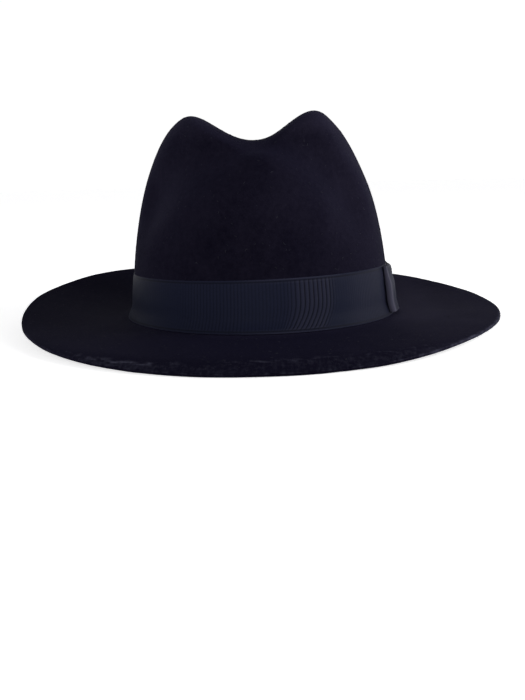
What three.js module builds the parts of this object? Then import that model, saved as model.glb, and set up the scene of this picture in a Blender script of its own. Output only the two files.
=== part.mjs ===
// A wool-felt fedora: a creased crown and a snapped brim in one felt wall, a ribbed ribbon and a flat side bow.
// Millimetres, +Z up. The hat rests on the plane z = 0 with its front at -Y and its own left side at +X.
// Directions round the hat are in degrees from the front towards its left side.
import * as THREE from "three";

// Foot of the crown, outside the felt. Inside its wall it fits a 57 to 58 cm head.
const HEAD_HALF_WIDTH = 86;
const HEAD_HALF_LENGTH = 101;

// Felt wall, and the bend where brim and crown meet.
const FELT_THICKNESS = 2;
const BEND_RADIUS = 3.8;

// The brim curves up or down more towards its edge, and its front lip is snapped down.
const BRIM_CURL = 1.25;
const LIP_WIDTH = 15;
const LIP_HALF_ANGLE = 52;
const LIP_DROP = 2.6;

// The top of the crown falls towards the back, and the crown stands a little towards the hat's right.
const TOP_FALL = 0.0009;
const TOP_FALL_FROM = -60;
const SIDE_LEAN = 0.013;

// At rest the hat leans back on its own brim, and its soft underside gives a little where it touches.
const LEAN_BACK = 1.8;
const SETTLE = 0.7;

// Ribbon, sewn into a ring round the foot of the crown, a little higher on the hat's left side. Its top is a height up
// the wall of the crown. A seat gap lies between every two pieces that touch.
const RIBBON_TOP = 29.4;
const RIBBON_TILT = 1.3;
const RIBBON_THICKNESS = 0.5;
const SEAT_GAP = 0.3;

// Flat bow of the same ribbon on the hat's left side: a flattened loop that flares at its foot and is sewn flat at
// its top, and a knot wrapped round its middle, which gathers it.
const BOW_MIDDLE = 90;
const BOW_LENGTH = 75;
const BOW_FOOT = 2.4;
const BOW_TOP = 30.2;
const BOW_HOLLOW = 2.3;
const BOW_FLARE = 0.5;
const BOW_FLARE_HEIGHT = 9;
const BOW_SEWN_HEIGHT = 12;
const KNOT_LENGTH = 13;
const KNOT_GATHER = 1.8;
const GATHER_LENGTH = 9;

// Columns of facets round the hat.
const COLUMNS = 60;

// The crown as it leaves the block, from its foot to the middle of its top: height, and how far the felt stands
// from the middle at the side, front and back.
const BLOCK = [
  { up: 0, side: HEAD_HALF_WIDTH, front: HEAD_HALF_LENGTH, back: HEAD_HALF_LENGTH },
  { up: 40, side: 81.6, front: 97, back: 98 },
  { up: 75, side: 75.2, front: 91, back: 92 },
  { up: 100, side: 68, front: 83, back: 84 },
  { up: 117, side: 58.5, front: 74, back: 75 },
  { up: 127, side: 47, front: 63, back: 64 },
  { up: 132, side: 33, front: 47, back: 48 },
  { up: 134, side: 17, front: 25, back: 26 },
  { up: 134.5, side: 0, front: 0, back: 0 },
];
const TOP = BLOCK.length - 1;

// Creases pressed into the blocked crown, and the one ridge drawn up between them: a line between two points, the way
// the felt is pushed there, how far, and how far from the line that acts.
const CREASES = {
  centreDent: { from: [0, -74, 134], to: [0, 42, 134], push: [0, 0.2, -1], depth: 23, reach: 45 },
  leftPinch: { from: [29, -78, 108], to: [60, -60, 76], push: [-0.4, 0.9, -0.1], depth: 12, reach: 26 },
  rightPinch: { from: [-24, -84, 102], to: [-66, -50, 74], push: [0.5, 0.85, -0.1], depth: 11, reach: 28 },
  leftFlank: { from: [62, -34, 102], to: [66, 0, 100], push: [-1, 0, 0], depth: 3.2, reach: 34 },
  rightFlank: { from: [-62, -34, 102], to: [-66, 0, 100], push: [1, 0, 0], depth: 1.4, reach: 34 },
  leftRidge: { from: [31, -60, 126], to: [31, 10, 132], push: [0, 0, 1], depth: 3, reach: 24 },
};

// Brim round the hat: how high its cut edge stands over the foot of the crown, and how wide the felt is there.
const BRIM_EDGE = [
  { degrees: 0, rise: -5, width: 67 },
  { degrees: 30, rise: -4, width: 67 },
  { degrees: 60, rise: 0, width: 67.5 },
  { degrees: 90, rise: 2, width: 68 },
  { degrees: 120, rise: 7, width: 67 },
  { degrees: 150, rise: 13, width: 67 },
  { degrees: 180, rise: 18, width: 67 },
  { degrees: 210, rise: 21, width: 66 },
  { degrees: 240, rise: 20, width: 66 },
  { degrees: 270, rise: 12, width: 68.5 },
  { degrees: 300, rise: 0.5, width: 68 },
  { degrees: 330, rise: -4, width: 67 },
];

// Rows of facets: across the brim from its cut edge at 1, round the bend in degrees, and up the rows of BLOCK.
const BRIM_ROWS = [1, 0.96, 0.9, 0.83, 0.76, 0.6, 0.42, 0.26, 0.12, 0.03];
const BEND_ROWS = [22, 45, 68];
const CROWN_ROWS = [0.15, 0.4, 0.65, 0.9, 1.3, 1.7, 2.1, 2.5, 2.9, 3.3, 3.7, 4.1, 4.5, 4.9, 5.3, 5.8, 6.3, 6.9, 7.5];

// The ribbon has rows where the felt has them, round the bend and on these rows of the crown. The bow has this many.
const RIBBON_CROWN_ROWS = CROWN_ROWS.slice(0, 2);
const BOW_ROWS = 6;

const radians = THREE.MathUtils.degToRad;
const degrees = THREE.MathUtils.radToDeg;
const vector = (numbers) => new THREE.Vector3(...numbers);

const spread = (from, to, count) =>
  Array.from({ length: count }, (_, i) => THREE.MathUtils.lerp(from, to, i / (count - 1)));

// Smooth curve through four evenly spaced values, at a share of the way from the second to the third.
function smooth(before, from, to, after, share) {
  const leaving = (to - before) / 2;
  const arriving = (after - from) / 2;
  const rise = to - from;
  const bend = 3 * rise - 2 * leaving - arriving;
  const twist = leaving + arriving - 2 * rise;
  return from + share * (leaving + share * (bend + share * twist));
}

// One column of a table, read smoothly between its rows. Past its ends the table goes on straight.
function readAlong(table, column, place) {
  const last = table.length - 1;
  const row = Math.min(Math.floor(place), last - 1);
  const value = (i) => {
    const end = THREE.MathUtils.clamp(i, 0, last);
    return i === end ? table[i][column] : 2 * table[end][column] - table[2 * end - i][column];
  };
  return smooth(value(row - 1), value(row), value(row + 1), value(row + 2), place - row);
}

// The same for a table whose rows are evenly spaced round the hat.
function readRound(table, column, direction) {
  const place = (THREE.MathUtils.euclideanModulo(direction, 360) / 360) * table.length;
  const row = Math.floor(place);
  const value = (i) => table[(i + table.length) % table.length][column];
  return smooth(value(row - 1), value(row), value(row + 1), value(row + 2), place - row);
}

// Point on an oval that can be longer behind than in front.
function ovalPoint(direction, side, front, back) {
  const angle = radians(direction);
  const length = Math.cos(angle) > 0 ? front : back;
  return new THREE.Vector3(side * Math.sin(angle), -length * Math.cos(angle), 0);
}

// Level direction out from the foot of the crown.
function outFromFoot(direction) {
  const angle = radians(direction);
  return new THREE.Vector3(HEAD_HALF_LENGTH * Math.sin(angle), -HEAD_HALF_WIDTH * Math.cos(angle), 0).normalize();
}

// How strongly a crease acts at a point: 1 on its line, 0 beyond its reach.
function pressed(crease, point) {
  const line = new THREE.Line3(vector(crease.from), vector(crease.to));
  const nearest = line.closestPointToPoint(point, true, new THREE.Vector3());
  const away = Math.min(nearest.distanceTo(point) / crease.reach, 1);
  return (1 - away * away) ** 2;
}

// Outer skin of the crown, at a place along the rows of BLOCK.
function crownPoint(direction, place) {
  const section = (column) => readAlong(BLOCK, column, place);
  const blocked = ovalPoint(direction, section("side"), section("front"), section("back"));
  const towardsTop = section("up") / BLOCK[TOP].up;
  const fall = TOP_FALL * Math.max(blocked.y - TOP_FALL_FROM, 0) * towardsTop ** 2;
  blocked.z = section("up") * (1 - fall);
  blocked.x -= SIDE_LEAN * blocked.z;
  const creased = blocked.clone();
  for (const crease of Object.values(CREASES)) {
    creased.addScaledVector(vector(crease.push).normalize(), crease.depth * pressed(crease, blocked));
  }
  return creased;
}

// Outer skin of the bend, from level with the brim at 0 degrees to upright against the crown at 90.
function bendPoint(direction, turn) {
  const point = ovalPoint(direction, HEAD_HALF_WIDTH, HEAD_HALF_LENGTH, HEAD_HALF_LENGTH);
  point.addScaledVector(outFromFoot(direction), BEND_RADIUS * (1 - Math.sin(radians(turn))));
  point.z = BEND_RADIUS * (1 - Math.cos(radians(turn)));
  return point;
}

// Outer skin of the brim, from the bend at 0 to the cut edge at 1.
function brimPoint(direction, share) {
  const rise = readRound(BRIM_EDGE, "rise", direction);
  const width = Math.sqrt(readRound(BRIM_EDGE, "width", direction) ** 2 - rise ** 2);
  const fromFront = Math.abs(THREE.MathUtils.euclideanModulo(direction + 180, 360) - 180);
  const snapped = Math.max(1 - (fromFront / LIP_HALF_ANGLE) ** 2, 0);
  const fromEdge = (1 - share) * width;
  const overLip = Math.max(1 - fromEdge / (LIP_WIDTH * snapped + 1), 0);
  const point = ovalPoint(direction, HEAD_HALF_WIDTH, HEAD_HALF_LENGTH, HEAD_HALF_LENGTH);
  point.addScaledVector(outFromFoot(direction), THREE.MathUtils.lerp(BEND_RADIUS, width, share));
  point.z = rise * share ** BRIM_CURL - LIP_DROP * snapped * overLip;
  return point;
}

// Outer skin of the felt as columns of points round the hat, each from the cut edge to the middle of the top.
const directions = Array.from({ length: COLUMNS }, (_, column) => (column * 360) / COLUMNS);
const outerSkin = directions.map((direction) => [
  ...BRIM_ROWS.map((share) => brimPoint(direction, share)),
  ...BEND_ROWS.map((turn) => bendPoint(direction, turn)),
  ...CROWN_ROWS.map((place) => crownPoint(direction, place)),
  crownPoint(direction, TOP),
]);

// Direction out of the felt at one point of the outer skin, from the points round it.
function outOfFelt(column, row) {
  const points = outerSkin[column];
  if (row === points.length - 1) return new THREE.Vector3(0, 0, 1);
  const next = outerSkin[(column + 1) % COLUMNS][row];
  const previous = outerSkin[(column + COLUMNS - 1) % COLUMNS][row];
  const upward = points[row + 1].clone().sub(points[Math.max(row - 1, 0)]);
  return next.clone().sub(previous).cross(upward).normalize();
}

const innerSkin = outerSkin.map((points, column) =>
  points.map((point, row) => point.clone().addScaledVector(outOfFelt(column, row), -FELT_THICKNESS)),
);

// The resting plane, seen from the leaning hat. Both skins are lifted together where the lower one would pass it.
const planeUp = new THREE.Vector3(0, -Math.sin(radians(LEAN_BACK)), Math.cos(radians(LEAN_BACK)));
const lowest = Math.min(...innerSkin.flat().map((point) => point.dot(planeUp)));
const plane = lowest + SETTLE;
const liftOf = (under) => Math.max(plane - under.dot(planeUp), 0);
outerSkin.forEach((points, column) =>
  points.forEach((point, row) => {
    const under = innerSkin[column][row];
    const lift = liftOf(under);
    point.addScaledVector(planeUp, lift);
    under.addScaledVector(planeUp, lift);
  }),
);

// A closed surface through sections of equally many points. The last section meets the first, and a section that is
// a ring meets itself. Each four corners are split along the shorter diagonal, and faces that shrink to nothing at a
// pole are left out.
function surfaceThrough(sections, ring) {
  const size = sections[0].length;
  const corners = [];
  const addFace = (a, b, c) => {
    if (!a.equals(b) && !b.equals(c) && !c.equals(a)) corners.push(a, b, c);
  };
  sections.forEach((section, i) => {
    const next = sections[(i + 1) % sections.length];
    for (let j = 0; j < (ring ? size : size - 1); j++) {
      const k = (j + 1) % size;
      if (section[j].distanceTo(next[k]) < section[k].distanceTo(next[j])) {
        addFace(section[j], next[j], next[k]);
        addFace(section[j], next[k], section[k]);
      } else {
        addFace(section[j], next[j], section[k]);
        addFace(next[j], next[k], section[k]);
      }
    }
  });
  return new THREE.BufferGeometry().setFromPoints(corners);
}

function namedMesh(name, geometry, material) {
  geometry.computeVertexNormals();
  const mesh = new THREE.Mesh(geometry, material);
  mesh.name = name;
  return mesh;
}

// Point on the felt wall at the foot of the crown, at a height up that wall.
const bendHeight = (turn) => BEND_RADIUS * (1 - Math.cos(radians(turn)));
const bendTurn = (up) => degrees(Math.acos(1 - up / BEND_RADIUS));
const wallPoint = (direction, up) =>
  up < BEND_RADIUS ? bendPoint(direction, bendTurn(up)) : crownPoint(direction, up / BLOCK[1].up);

// Direction out of that wall, square to it.
function outOfWall(direction, up) {
  const step = 0.2;
  const along = wallPoint(direction + step, up).sub(wallPoint(direction - step, up));
  const upward = wallPoint(direction, up + step).sub(wallPoint(direction, up - step));
  return along.cross(upward).normalize();
}

// Point over that wall, as the hat rests.
function overWall(direction, up, out) {
  const outward = outOfWall(direction, up);
  const point = wallPoint(direction, up);
  const under = point.clone().addScaledVector(outward, -FELT_THICKNESS);
  return point.addScaledVector(outward, out).addScaledVector(planeUp, liftOf(under));
}

const felt = new THREE.MeshStandardMaterial({ color: 0x14151b, roughness: 0.95, metalness: 0 });
const ribbon = new THREE.MeshStandardMaterial({ color: 0x22263a, roughness: 0.6, metalness: 0 });

// Crown and brim: one felt wall, open below.
function feltBody() {
  const sections = outerSkin.map((points, column) => [...innerSkin[column].toReversed(), ...points]);
  return namedMesh("felt_body", surfaceThrough(sections, false), felt);
}

// Ring of ribbon that follows the felt and spreads with it at the bend.
function ribbonBand() {
  const sections = directions.map((direction) => {
    const top = RIBBON_TOP + RIBBON_TILT * Math.sin(radians(direction));
    const heights = [...BEND_ROWS.map(bendHeight), ...RIBBON_CROWN_ROWS.map((place) => place * BLOCK[1].up), top];
    const skin = (out) => heights.map((up) => overWall(direction, up, out));
    return [...skin(SEAT_GAP).toReversed(), ...skin(SEAT_GAP + RIBBON_THICKNESS)];
  });
  return namedMesh("ribbon_band", surfaceThrough(sections, true), ribbon);
}

// Point on the bow: how far along from its middle, up the wall and level out from it. Its foot flares.
function bowPoint(along, up, out) {
  const direction = BOW_MIDDLE + degrees(along / HEAD_HALF_LENGTH);
  const flare = BOW_FLARE * Math.max(1 - (up - BOW_FOOT) / BOW_FLARE_HEIGHT, 0) ** 2;
  return wallPoint(direction, up).addScaledVector(outFromFoot(direction), out + flare);
}

// How much the knot gathers the bow: 1 under the knot, 0 a gather's length away.
const gathered = (along) =>
  1 - THREE.MathUtils.smoothstep(Math.abs(along), KNOT_LENGTH / 2, KNOT_LENGTH / 2 + GATHER_LENGTH);

// Inner face of the bow's lower layer, clear of the ribbon, and the hollow between its layers.
const BOW_INSIDE = 2 * SEAT_GAP + RIBBON_THICKNESS;
function bowHollow(along, up) {
  const open = THREE.MathUtils.smoothstep(BOW_TOP - up, 0, BOW_SEWN_HEIGHT) * (1 - gathered(along));
  return THREE.MathUtils.lerp(SEAT_GAP, BOW_HOLLOW, open);
}

// Flattened loop: out along the upper layer, round the rear fold, back along the lower layer, round the front fold.
function bowLoop() {
  const straight = BOW_LENGTH / 2 - BOW_HOLLOW / 2 - RIBBON_THICKNESS;
  const halfKnot = KNOT_LENGTH / 2;
  const rearHalf = [halfKnot, ...spread(halfKnot + 4, straight, 4)];
  const layer = [...rearHalf.toReversed().map((along) => -along), 0, ...rearHalf];
  const route = [
    ...layer.map((along) => ({ along, turn: 90 })),
    ...[45, 0, -45].map((turn) => ({ along: straight, turn })),
    ...layer.toReversed().map((along) => ({ along, turn: -90 })),
    ...[-135, 180, 135].map((turn) => ({ along: -straight, turn })),
  ];
  const sections = route.map(({ along, turn }) => {
    const gather = KNOT_GATHER * gathered(along);
    const heights = spread(BOW_FOOT + gather, BOW_TOP - gather, BOW_ROWS);
    const skin = (cover) =>
      heights.map((up) => {
        const hollow = bowHollow(along, up);
        const radius = hollow / 2 + cover;
        const out = BOW_INSIDE + RIBBON_THICKNESS + hollow / 2 + radius * Math.sin(radians(turn));
        return bowPoint(along + radius * Math.cos(radians(turn)), up, out);
      });
    return [...skin(0).toReversed(), ...skin(RIBBON_THICKNESS)];
  });
  return namedMesh("bow_loop", surfaceThrough(sections, true), ribbon);
}

// Knot: a bracket of ribbon over the bow's middle, turned in over its upper and lower edges.
function bowKnot() {
  const foot = BOW_FOOT + KNOT_GATHER - SEAT_GAP;
  const top = BOW_TOP - KNOT_GATHER + SEAT_GAP;
  const bowFace = BOW_INSIDE + 2 * RIBBON_THICKNESS + SEAT_GAP;
  const inside = bowFace + SEAT_GAP;
  const outside = inside + RIBBON_THICKNESS;
  const heights = spread(foot, top, BOW_ROWS);
  const outline = [
    [BOW_INSIDE, top + RIBBON_THICKNESS],
    [BOW_INSIDE, top],
    ...heights.toReversed().map((up) => [inside, up]),
    [BOW_INSIDE, foot],
    [BOW_INSIDE, foot - RIBBON_THICKNESS],
    [outside, foot - RIBBON_THICKNESS],
    ...heights.slice(1, -1).map((up) => [outside, up]),
    [outside, top + RIBBON_THICKNESS],
  ];
  const sections = spread(-KNOT_LENGTH / 2, KNOT_LENGTH / 2, 4).map((along) =>
    outline.map(([out, up]) => bowPoint(along, up, out)),
  );
  return namedMesh("bow_knot", capped(sections, outline), ribbon);
}

// A closed bar through sections of one outline, with its two ends filled.
function capped(sections, outline) {
  const corners = [];
  sections.slice(1).forEach((section, i) => {
    const before = sections[i];
    section.forEach((point, j) => {
      const k = (j + 1) % section.length;
      corners.push(before[j], point, section[k], before[j], section[k], before[k]);
    });
  });
  const flat = outline.map(([x, y]) => new THREE.Vector2(x, y));
  for (const [a, b, c] of THREE.ShapeUtils.triangulateShape(flat, [])) {
    corners.push(sections[0][a], sections[0][b], sections[0][c]);
    corners.push(sections.at(-1)[c], sections.at(-1)[b], sections.at(-1)[a]);
  }
  return new THREE.BufferGeometry().setFromPoints(corners);
}

// The hat at rest. The origin lies on the resting plane under the middle of the brim.
const hat = new THREE.Group();
hat.add(feltBody(), ribbonBand(), bowLoop(), bowKnot());
hat.rotation.x = -radians(LEAN_BACK);
hat.position.z = -plane;
const middle = new THREE.Box3().setFromObject(hat, true).getCenter(new THREE.Vector3());
hat.position.x = -middle.x;
hat.position.y = -middle.y;

export default hat;
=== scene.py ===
# A wool-felt fedora on a pale floor: creased crown, snapped brim, ribbed ribbon and flat side bow.
# Metres, +Z up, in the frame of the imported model: the hat's front is at -Y and its own left side at +X.
import math

import bmesh
import bpy
import numpy as np
from bpy.props import FloatProperty, FloatVectorProperty, IntProperty, PointerProperty
from mathutils import Matrix, Vector, kdtree, noise


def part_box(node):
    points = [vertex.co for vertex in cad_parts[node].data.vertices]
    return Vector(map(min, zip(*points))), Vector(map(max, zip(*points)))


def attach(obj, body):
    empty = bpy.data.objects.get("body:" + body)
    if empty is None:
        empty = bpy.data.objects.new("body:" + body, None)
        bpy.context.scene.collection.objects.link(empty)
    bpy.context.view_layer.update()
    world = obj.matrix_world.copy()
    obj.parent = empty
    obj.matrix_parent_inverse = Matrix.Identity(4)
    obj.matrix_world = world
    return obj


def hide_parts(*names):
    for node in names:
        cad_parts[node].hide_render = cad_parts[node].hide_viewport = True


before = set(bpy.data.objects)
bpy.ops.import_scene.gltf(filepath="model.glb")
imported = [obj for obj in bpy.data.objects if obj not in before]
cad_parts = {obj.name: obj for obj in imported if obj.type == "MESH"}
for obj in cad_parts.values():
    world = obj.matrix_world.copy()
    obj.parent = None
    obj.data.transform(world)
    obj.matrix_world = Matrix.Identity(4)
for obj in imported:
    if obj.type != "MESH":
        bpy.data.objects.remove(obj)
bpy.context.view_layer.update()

bl_info = {
    "name": "Felt fedora",
    "version": (1, 0, 0),
    "blender": (4, 5, 0),
    "location": "View3D > Sidebar > Fedora",
    "description": "Builds a wool-felt hat with its ribbon and bow round the packed solids",
    "category": "Object",
}

MM = 0.001


def linear(hex_colour):
    """An sRGB hex colour as linear red, green, blue and an opaque alpha."""
    parts = [int(hex_colour[i : i + 2], 16) / 255 for i in (1, 3, 5)]
    return [p / 12.92 if p <= 0.04045 else ((p + 0.055) / 1.055) ** 2.4 for p in parts] + [1.0]


def smooth_step(value, low, high):
    """0 below low, 1 above high, and smooth between."""
    share = min(max((value - low) / (high - low), 0), 1)
    return share * share * (3 - 2 * share)


# Sizes and colours that a user would change
class FeltSettings(bpy.types.PropertyGroup):
    body_colour: FloatVectorProperty(
        name="Felt", description="Dyed wool of the body", subtype="COLOR", size=4,
        default=linear("#040309"),
    )
    # The paler nap colour also shows the painted light on the peaks, the crown's sides and the brim beside
    # the bow.
    nap_and_painted_light_colour: FloatVectorProperty(
        name="Nap", description="Paler patches of the nap", subtype="COLOR", size=4,
        default=linear("#17151f"),
    )
    # The worn colour also shows the painted light on the lip's face below its crest.
    worn_and_lit_colour: FloatVectorProperty(
        name="Worn felt", description="Rubbed and raw felt", subtype="COLOR", size=4,
        default=linear("#3b3b47"),
    )
    unevenness: FloatProperty(
        name="Unevenness", description="How far hand blocking leaves the felt uneven", unit="LENGTH",
        default=0.45 * MM,
    )
    fuzz_length: FloatProperty(
        name="Fuzz length", description="Longest loose fibres on the cut edge", unit="LENGTH",
        default=1.3 * MM,
    )
    fuzz_count: IntProperty(
        name="Fuzz", description="Loose fibres on the cut edge and on the nap", default=14000
    )
    lint_count: IntProperty(name="Lint", description="Specks of lint caught in the nap", default=1700)


class RibbonSettings(bpy.types.PropertyGroup):
    colour: FloatVectorProperty(
        name="Ribbon", description="Dyed warp on the ribs", subtype="COLOR", size=4,
        default=linear("#111422"),
    )
    groove_colour: FloatVectorProperty(
        name="Groove", description="Shade between two ribs", subtype="COLOR", size=4,
        default=linear("#07080f"),
    )
    # Colour of the painted highlights and painted light on the ribbon.
    painted_highlight_colour: FloatVectorProperty(
        name="Faded", description="Selvedge threads and pressed folds", subtype="COLOR", size=4,
        default=linear("#3b3a48"),
    )
    rib_pitch: FloatProperty(
        name="Rib pitch", description="From one rib to the next", unit="LENGTH", default=2 * MM
    )
    rib_depth: FloatProperty(
        name="Rib depth", description="How far a rib stands out where it is deepest", unit="LENGTH",
        default=0.34 * MM,
    )
    thickness: FloatProperty(
        name="Thickness", description="Thickness of the ribbon", unit="LENGTH", default=0.45 * MM
    )


class StageSettings(bpy.types.PropertyGroup):
    floor_colour: FloatVectorProperty(
        name="Floor", description="Pale floor", subtype="COLOR", size=4, default=linear("#f2f2f3")
    )
    key_power: FloatProperty(
        name="Main light", description="Soft light from the right", unit="POWER", default=14.5
    )
    fill_power: FloatProperty(
        name="Fill light", description="Weak soft light from low in front", unit="POWER", default=7
    )
    surround: FloatProperty(name="Surround", description="Strength of the pale surroundings", default=1.02)


# Materials
MIX_A, MIX_B, MIX_RESULT = 6, 7, 2  # sockets of a Mix node that mixes colours
DARKEST_SUM, PALEST_SUM = 0.85, 2.55  # sums of three noises and the painted light and shade that give the darkest and the palest felt
LIGHTENED_NONE, LIGHTENED_FULL = 0.06, 0.38  # products of the wear with its painted light and two noises that show no and only paler fibres
FLOOR_GLOW = 0.65  # keeps the floor as white as its surroundings


def add_node(tree, kind, settings, links):
    """Adds a node, sets its sockets and properties, and links its inputs to the sockets given."""
    node = tree.nodes.new(kind)
    for name, value in settings.items():
        if isinstance(name, int) or name in node.inputs:
            node.inputs[name].default_value = value
        else:
            setattr(node, name, value)
    for name, source in links.items():
        tree.links.new(source, node.inputs[name])
    return node


def new_material(name, shader_settings):
    """A material with an output and one Principled shader."""
    material = bpy.data.materials.new(name)
    material.use_nodes = True
    tree = material.node_tree
    tree.nodes.clear()
    shader = add_node(tree, "ShaderNodeBsdfPrincipled", shader_settings, {})
    add_node(tree, "ShaderNodeOutputMaterial", {}, {"Surface": shader.outputs["BSDF"]})
    return material, tree, shader


def wool_felt():
    """Wool felt, blocked with steam and brushed: no gloss, a soft sheen at grazing angles, mottled nap."""
    settings = bpy.context.scene.hat_felt
    material, tree, shader = new_material("blocked wool felt", {
        "Roughness": 0.95,
        "Specular IOR Level": 0.03,
        "Specular Tint": linear("#9c9ade"),
        "Sheen Weight": 0.035,
        "Sheen Roughness": 0.7,
        "Sheen Tint": linear("#817ebc"),
    })
    place = add_node(tree, "ShaderNodeTexCoord", {}, {}).outputs["Object"]
    # Hand blocking leaves patches of nap 20 to 30 mm across that lie a little differently.
    patches = add_node(tree, "ShaderNodeTexNoise", {"Scale": 1 / (25 * MM), "Detail": 1.0},
                       {"Vector": place})
    # The nap's own tufts are about 0.3 mm, too fine to show, so they are drawn 1.2 mm across.
    tufts = add_node(tree, "ShaderNodeTexNoise", {"Scale": 1 / (1.2 * MM), "Detail": 4.0, "Roughness": 0.7},
                     {"Vector": place})
    # Between the two, the wool is felted in clumps about 3 mm across.
    clumps = add_node(tree, "ShaderNodeTexNoise", {"Scale": 1 / (3 * MM), "Detail": 3.0}, {"Vector": place})
    coarse = add_node(tree, "ShaderNodeMath", {"operation": "ADD"},
                      {0: patches.outputs["Fac"], 1: clumps.outputs["Fac"]})
    all_three = add_node(tree, "ShaderNodeMath", {"operation": "ADD"},
                         {0: coarse.outputs[0], 1: tufts.outputs["Fac"]})
    # Painted light and shade: the peaks, the crown's sides and the brim beside the bow are painted paler
    # where the main light falls on them, and the rest of the brim darker.
    painted_lighting = add_node(tree, "ShaderNodeAttribute", {"attribute_name": "painted_lighting"}, {})
    pale_share = add_node(tree, "ShaderNodeMath", {"operation": "ADD"},
                          {0: all_three.outputs[0], 1: painted_lighting.outputs["Fac"]})
    nap = add_node(tree, "ShaderNodeMapRange", {"From Min": DARKEST_SUM, "From Max": PALEST_SUM},
                   {"Value": pale_share.outputs[0]})
    body = add_node(tree, "ShaderNodeMix", {"data_type": "RGBA", MIX_A: settings.body_colour,
                                            MIX_B: settings.nap_and_painted_light_colour},
                    {"Factor": nap.outputs["Result"]})
    # The nap is brushed across the lip of the brim, so rubbing shows its paler fibres as short strokes, and
    # the painted light on the lip's face below its crest is broken into the same strokes.
    # They are 0.5 mm wide at most, too fine to show, so they are drawn 1.5 mm wide and 6 mm long.
    brushed = add_node(tree, "ShaderNodeMapping", {"Scale": (1 / (1.5 * MM), 1 / (6 * MM), 1 / (6 * MM))},
                       {"Vector": place})
    strokes = add_node(tree, "ShaderNodeTexNoise", {"Scale": 1.0, "Detail": 2.0, "Roughness": 0.6},
                       {"Vector": brushed.outputs[0]})
    wear_and_painted_light = add_node(tree, "ShaderNodeAttribute", {"attribute_name": "wear_and_painted_light"}, {})
    tips = add_node(tree, "ShaderNodeMath", {"operation": "MULTIPLY"},
                    {0: clumps.outputs["Fac"], 1: strokes.outputs["Fac"]})
    lightened = add_node(tree, "ShaderNodeMath", {"operation": "MULTIPLY"},
                      {0: wear_and_painted_light.outputs["Fac"], 1: tips.outputs[0]})
    spread = add_node(tree, "ShaderNodeMapRange", {"From Min": LIGHTENED_NONE, "From Max": LIGHTENED_FULL},
                      {"Value": lightened.outputs[0]})
    colour = add_node(tree, "ShaderNodeMix", {"data_type": "RGBA", MIX_B: settings.worn_and_lit_colour},
                      {"Factor": spread.outputs["Result"], MIX_A: body.outputs[MIX_RESULT]})
    bump = add_node(tree, "ShaderNodeBump", {"Strength": 0.7, "Distance": 0.25 * MM},
                    {"Height": tufts.outputs["Fac"]})
    tree.links.new(colour.outputs[MIX_RESULT], shader.inputs["Base Color"])
    tree.links.new(bump.outputs["Normal"], shader.inputs["Normal"])
    return material


def loose_fibre(name, hex_colour):
    """Loose wool fibres: dull, a little paler than the felt that they stand on."""
    material, tree, shader = new_material(name, {"Roughness": 0.9, "Specular IOR Level": 0.1})
    place = add_node(tree, "ShaderNodeTexCoord", {}, {}).outputs["Object"]
    # Fibres change from pale to dark every few millimetres.
    speckle = add_node(tree, "ShaderNodeTexNoise", {"Scale": 1 / (3 * MM)}, {"Vector": place})
    colour = add_node(tree, "ShaderNodeMix", {"data_type": "RGBA", MIX_A: linear("#15161c"),
                                              MIX_B: linear(hex_colour)},
                      {"Factor": speckle.outputs["Fac"]})
    tree.links.new(colour.outputs[MIX_RESULT], shader.inputs["Base Color"])
    return material


def ribbed_ribbon():
    """Ribbed rayon ribbon: a low silky gloss along the ribs, painted shade in the grooves between them, and
    painted highlights on selvedges, crests and folds.
    """
    found = bpy.data.materials.get("woven grosgrain")
    if found:
        return found
    settings = bpy.context.scene.hat_ribbon
    material, tree, shader = new_material("woven grosgrain", {
        "Roughness": 0.5,
        "Specular IOR Level": 0.02,
        "Sheen Weight": 0.06,
        "Sheen Roughness": 0.2,
        "Sheen Tint": linear("#9aa0b8"),
    })
    rib = add_node(tree, "ShaderNodeAttribute", {"attribute_name": "rib"}, {})
    laid = add_node(tree, "ShaderNodeUVMap", {"uv_map": "laid"}, {})
    # Warp threads run along the ribbon about 0.15 mm apart, and are drawn 0.8 mm apart to show.
    threads = add_node(tree, "ShaderNodeMapping", {"Scale": (1 / (6 * MM), 1 / (0.8 * MM), 1)},
                       {"Vector": laid.outputs["UV"]})
    slubs = add_node(tree, "ShaderNodeTexNoise", {"Scale": 1.0, "Detail": 2.0},
                     {"Vector": threads.outputs[0]})
    crest = add_node(tree, "ShaderNodeMix", {"data_type": "RGBA", MIX_A: settings.colour,
                                             MIX_B: linear("#131627")},
                     {"Factor": slubs.outputs["Fac"]})
    # Painted shade: the groove colour darkens the ribbon between the ribs.
    ribbed = add_node(tree, "ShaderNodeMix", {"data_type": "RGBA", MIX_A: settings.groove_colour},
                      {"Factor": rib.outputs["Fac"], MIX_B: crest.outputs[MIX_RESULT]})
    # Painted highlights and painted light on the selvedges, the rib crests, the bow's folds and face, and the
    # band beside the bow.
    painted_highlight = add_node(tree, "ShaderNodeAttribute", {"attribute_name": "painted_highlight"}, {})
    colour = add_node(tree, "ShaderNodeMix", {"data_type": "RGBA", MIX_B: settings.painted_highlight_colour},
                      {"Factor": painted_highlight.outputs["Fac"], MIX_A: ribbed.outputs[MIX_RESULT]})
    bump = add_node(tree, "ShaderNodeBump", {"Strength": 0.3, "Distance": 0.08 * MM},
                    {"Height": slubs.outputs["Fac"]})
    tree.links.new(colour.outputs[MIX_RESULT], shader.inputs["Base Color"])
    tree.links.new(bump.outputs["Normal"], shader.inputs["Normal"])
    return material


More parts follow.
